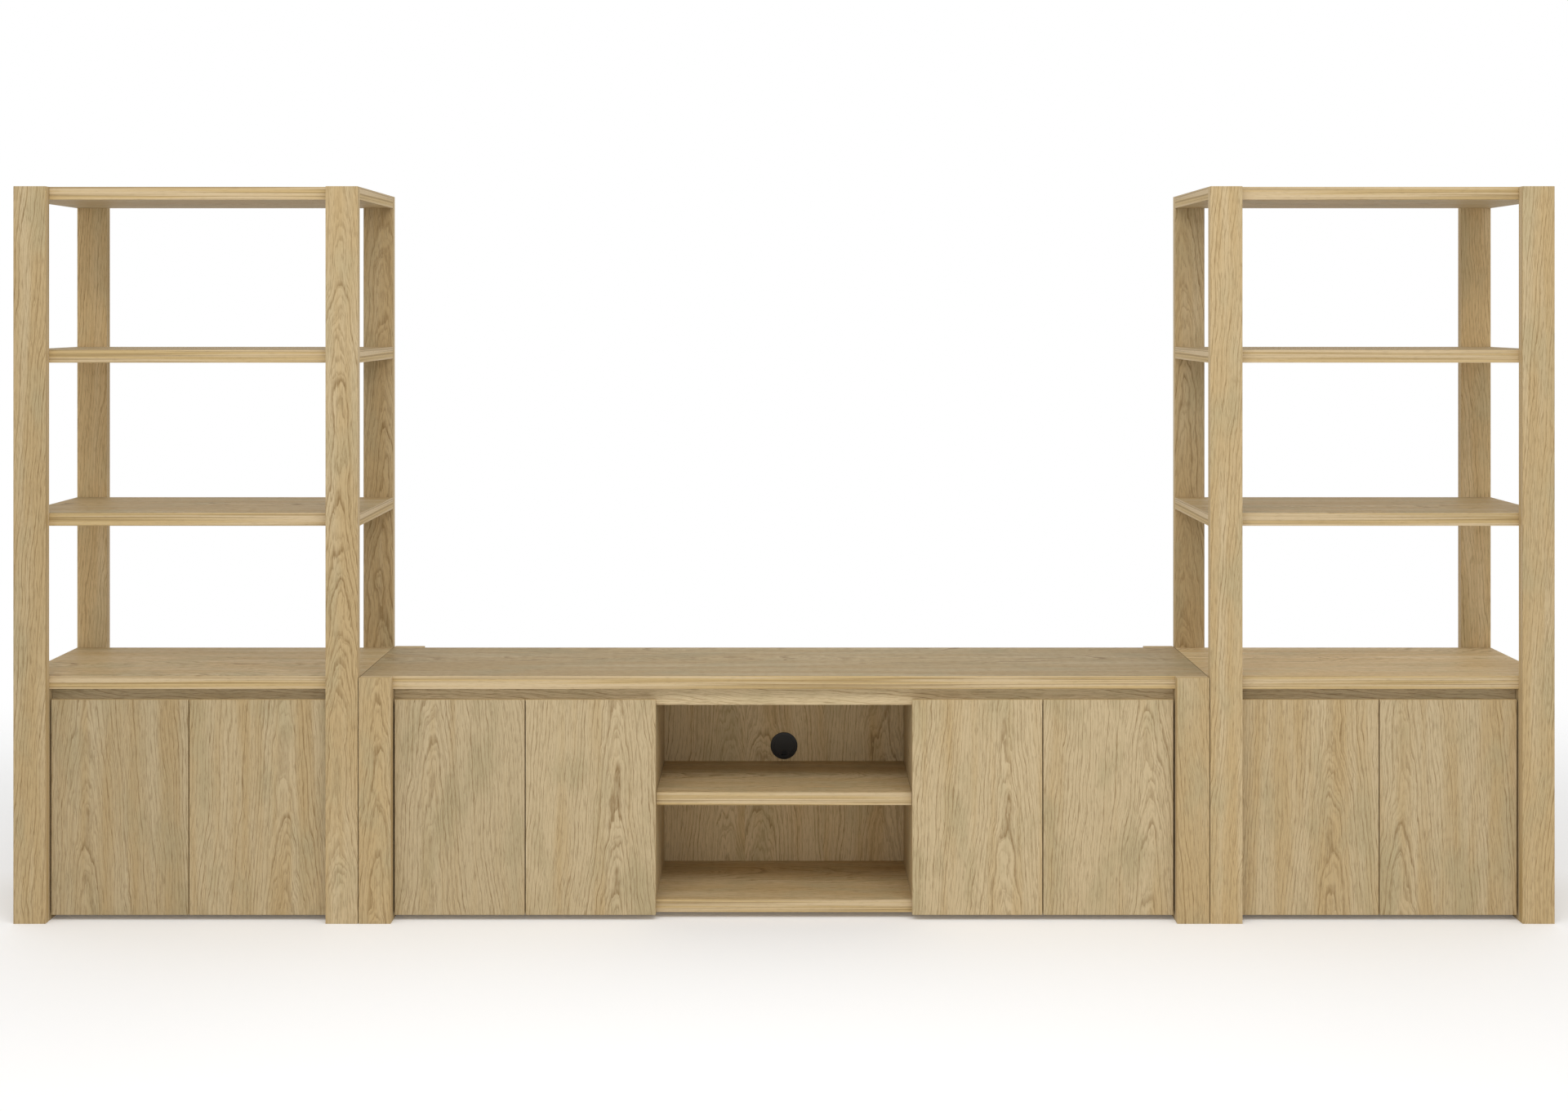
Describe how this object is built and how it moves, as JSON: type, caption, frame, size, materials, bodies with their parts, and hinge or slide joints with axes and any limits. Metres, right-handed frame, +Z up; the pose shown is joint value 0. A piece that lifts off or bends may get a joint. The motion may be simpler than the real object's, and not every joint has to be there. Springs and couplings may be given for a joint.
{
  "type": "media cabinet",
  "caption": "Low media console with slab doors and an open centre bay, between tall piers that have open shelves over cupboards, in light oak",
  "frame": {"origin": "on the floor under the middle of the set, half way along its width and depth", "axes": "+Z up, +X to the right along the set seen from the front, front faces -Y"},
  "size_m": [3.822, 0.457, 1.83],
  "materials": {
    "oak_outside": "light oak veneer, matt clear lacquer",
    "oak_inside": "light oak veneer, matt clear lacquer, inside faces",
    "black_plastic": "moulded, satin black"
  },
  "bodies": {
    "carcass": {"console_back_panel": "oak_inside", "console_bay_shelf": "oak_outside", "console_bottom": "oak_outside", "console_front_left_post": "oak_outside", "console_front_rail": "oak_outside", "console_front_right_post": "oak_outside", "console_left_inner_shelf": "oak_inside", "console_left_inner_side": "oak_inside", "console_left_outer_side": "oak_outside", "console_left_partition": "oak_inside", "console_rear_left_post": "oak_outside", "console_rear_right_post": "oak_outside", "console_right_inner_shelf": "oak_inside", "console_right_inner_side": "oak_inside", "console_right_outer_side": "oak_outside", "console_right_partition": "oak_inside", "console_top": "oak_outside", "grommet_liner": "black_plastic", "left_pier_back_panel": "oak_inside", "left_pier_bottom": "oak_outside", "left_pier_cabinet_top": "oak_outside", "left_pier_front_left_post": "oak_outside", "left_pier_front_rail": "oak_outside", "left_pier_front_right_post": "oak_outside", "left_pier_inner_shelf": "oak_inside", "left_pier_left_inner_side": "oak_inside", "left_pier_left_outer_side": "oak_outside", "left_pier_lower_shelf": "oak_outside", "left_pier_rear_left_post": "oak_outside", "left_pier_rear_right_post": "oak_outside", "left_pier_right_inner_side": "oak_inside", "left_pier_right_outer_side": "oak_outside", "left_pier_top": "oak_outside", "left_pier_upper_shelf": "oak_outside", "right_pier_back_panel": "oak_inside", "right_pier_bottom": "oak_outside", "right_pier_cabinet_top": "oak_outside", "right_pier_front_left_post": "oak_outside", "right_pier_front_rail": "oak_outside", "right_pier_front_right_post": "oak_outside", "right_pier_inner_shelf": "oak_inside", "right_pier_left_inner_side": "oak_inside", "right_pier_left_outer_side": "oak_outside", "right_pier_lower_shelf": "oak_outside", "right_pier_rear_left_post": "oak_outside", "right_pier_rear_right_post": "oak_outside", "right_pier_right_inner_side": "oak_inside", "right_pier_right_outer_side": "oak_outside", "right_pier_top": "oak_outside", "right_pier_upper_shelf": "oak_outside"},
    "console_door_1": {"console_door_1": "oak_outside"},
    "console_door_2": {"console_door_2": "oak_outside"},
    "console_door_3": {"console_door_3": "oak_outside"},
    "console_door_4": {"console_door_4": "oak_outside"},
    "left_pier_left_door": {"left_pier_left_door": "oak_outside"},
    "left_pier_right_door": {"left_pier_right_door": "oak_outside"},
    "right_pier_left_door": {"right_pier_left_door": "oak_outside"},
    "right_pier_right_door": {"right_pier_right_door": "oak_outside"},
    "grommet_cap": {"grommet_cap": "black_plastic"}
  },
  "joints": [
    {"name": "left_pier_left_door_hinge", "type": "hinge", "parent": "carcass", "child": "left_pier_left_door", "pos_m": [-1.8253, -0.201, 0.2825], "axis": [0, 0, -1], "range_deg": [0, 95]},
    {"name": "left_pier_right_door_hinge", "type": "hinge", "parent": "carcass", "child": "left_pier_right_door", "pos_m": [-1.1427, -0.201, 0.2825], "axis": [0, 0, 1], "range_deg": [0, 95]},
    {"name": "right_pier_left_door_hinge", "type": "hinge", "parent": "carcass", "child": "right_pier_left_door", "pos_m": [1.1427, -0.201, 0.2825], "axis": [0, 0, -1], "range_deg": [0, 95]},
    {"name": "right_pier_right_door_hinge", "type": "hinge", "parent": "carcass", "child": "right_pier_right_door", "pos_m": [1.8253, -0.201, 0.2825], "axis": [0, 0, 1], "range_deg": [0, 95]},
    {"name": "console_door_1_hinge", "type": "hinge", "parent": "carcass", "child": "console_door_1", "pos_m": [-0.9693, -0.201, 0.2825], "axis": [0, 0, -1], "range_deg": [0, 95]},
    {"name": "console_door_2_hinge", "type": "hinge", "parent": "carcass", "child": "console_door_2", "pos_m": [-0.3215, -0.201, 0.2825], "axis": [0, 0, 1], "range_deg": [0, 95]},
    {"name": "console_door_3_hinge", "type": "hinge", "parent": "carcass", "child": "console_door_3", "pos_m": [0.3215, -0.201, 0.2825], "axis": [0, 0, -1], "range_deg": [0, 95]},
    {"name": "console_door_4_hinge", "type": "hinge", "parent": "carcass", "child": "console_door_4", "pos_m": [0.9693, -0.201, 0.2825], "axis": [0, 0, 1], "range_deg": [0, 95]},
    {"name": "grommet_cap_turn", "type": "hinge", "parent": "carcass", "child": "grommet_cap", "pos_m": [0, 0.1515, 0.356], "axis": [0, 1, 0], "continuous": true}
  ]
}
